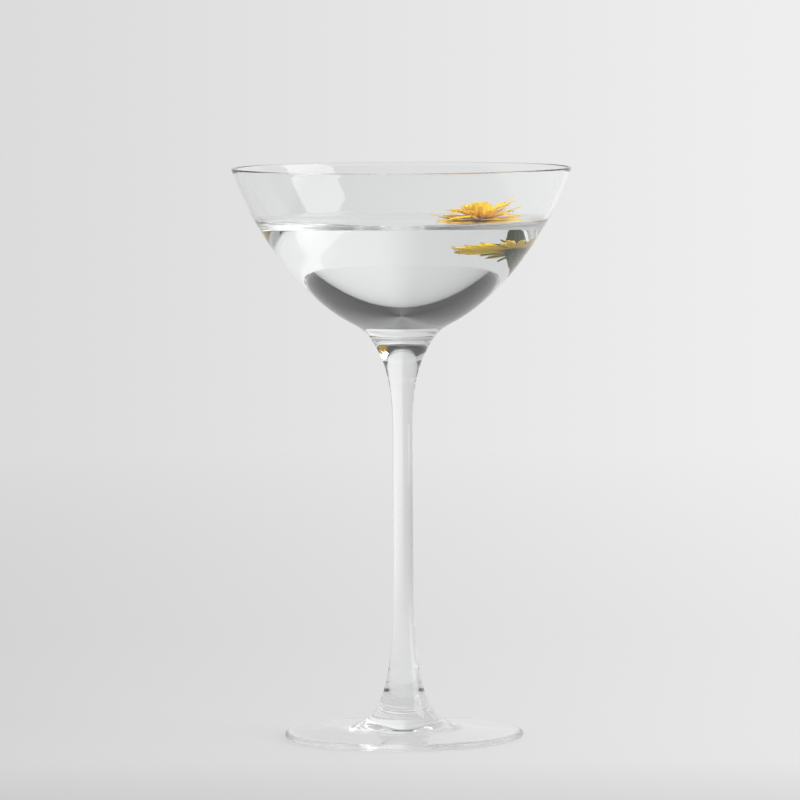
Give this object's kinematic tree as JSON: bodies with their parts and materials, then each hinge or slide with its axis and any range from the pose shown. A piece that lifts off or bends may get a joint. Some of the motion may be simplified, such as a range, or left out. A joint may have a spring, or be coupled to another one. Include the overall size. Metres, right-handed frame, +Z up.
{
  "type": "martini glass",
  "caption": "Stemmed cocktail glass with a wide curved bowl, slim drawn stem and thin foot, holding a clear drink with a floating yellow flower.",
  "frame": {"origin": "middle of the foot's underside, on the table", "axes": "+Z up the stem; the flower floats to the +X side and a little towards +Y; the pictured side faces -Y"},
  "size_m": [0.105, 0.105, 0.177],
  "materials": {
    "glass": "clear, fire-polished",
    "drink": "clear liquid",
    "green_stalk": "matte, fleshy",
    "yellow_rays": "soft, slightly glossy petals",
    "orange_disc": "matte florets"
  },
  "bodies": {
    "glass": {"bowl": "glass", "stem": "glass", "foot": "glass"},
    "drink": {"drink": "drink"},
    "flower": {"flower_stalk": "green_stalk", "flower_calyx": "green_stalk", "outer_rays": "yellow_rays", "middle_rays": "yellow_rays", "inner_rays": "yellow_rays", "flower_disc": "orange_disc"}
  },
  "joints": [
    {"name": "drink_swirl", "type": "hinge", "parent": "glass", "child": "drink", "pos_m": [0, 0, 0.15], "axis": [0, 0, 1], "continuous": true},
    {"name": "flower_lift", "type": "slide", "parent": "drink", "child": "flower", "axis": [0, 0, 1], "range_m": [0, 0.04]}
  ]
}
